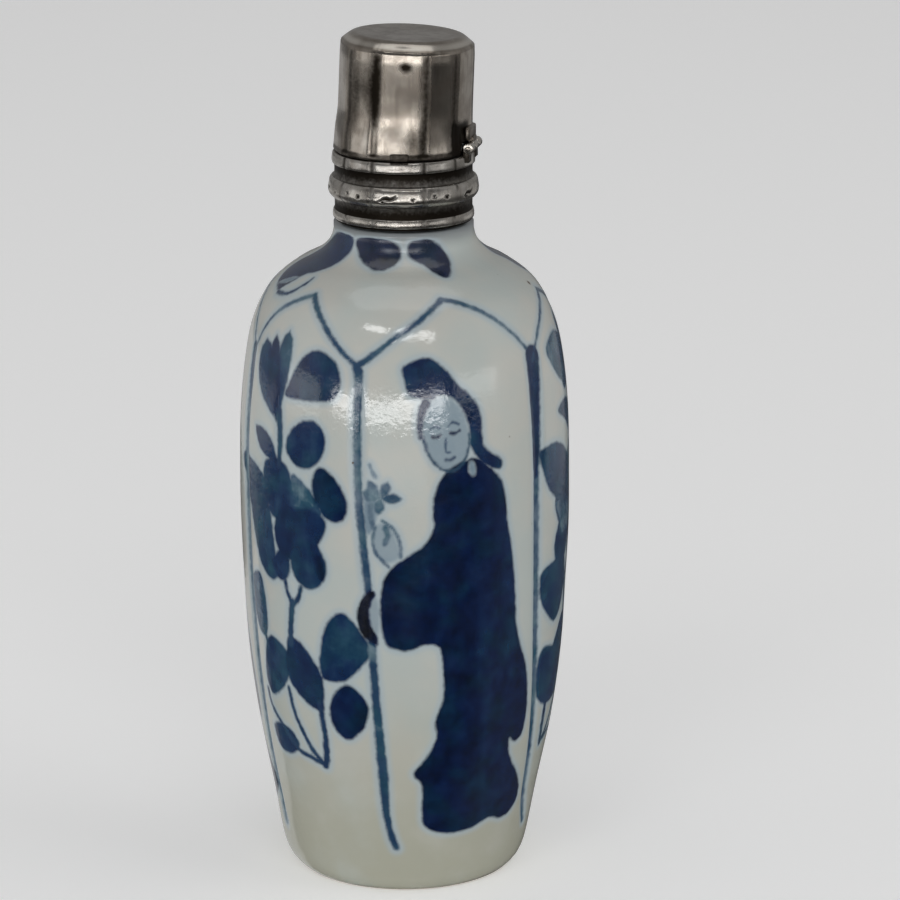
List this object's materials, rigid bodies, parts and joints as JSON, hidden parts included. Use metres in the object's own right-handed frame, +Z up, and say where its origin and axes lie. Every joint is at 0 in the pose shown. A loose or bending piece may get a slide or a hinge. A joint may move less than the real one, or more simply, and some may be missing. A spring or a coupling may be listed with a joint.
{
  "type": "porcelain perfume bottle",
  "caption": "Small hollow porcelain perfume bottle with moulded blue-painted panels, a beaded silver collar and a fluted silver lid on a side hinge.",
  "frame": {"origin": "centre of the bottle's foot ring, on the surface that it stands on", "axes": "+Z up through the neck; +X towards the lid's hinge; the hinge pin runs along Y"},
  "size_m": [0.033, 0.0327, 0.0852],
  "materials": {
    "porcelain": "glossy grey-white glaze over cobalt blue painting",
    "silver": "old silver, worn and tarnished in the grooves"
  },
  "bodies": {
    "bottle": {"bottle": "porcelain", "collar": "silver", "hinge_pin": "silver"},
    "lid": {"lid": "silver"}
  },
  "joints": [
    {"name": "lid_hinge", "type": "hinge", "parent": "bottle", "child": "lid", "pos_m": [0.00695, 0, 0.0741], "axis": [0, 1, 0], "range_deg": [0, 105]}
  ]
}
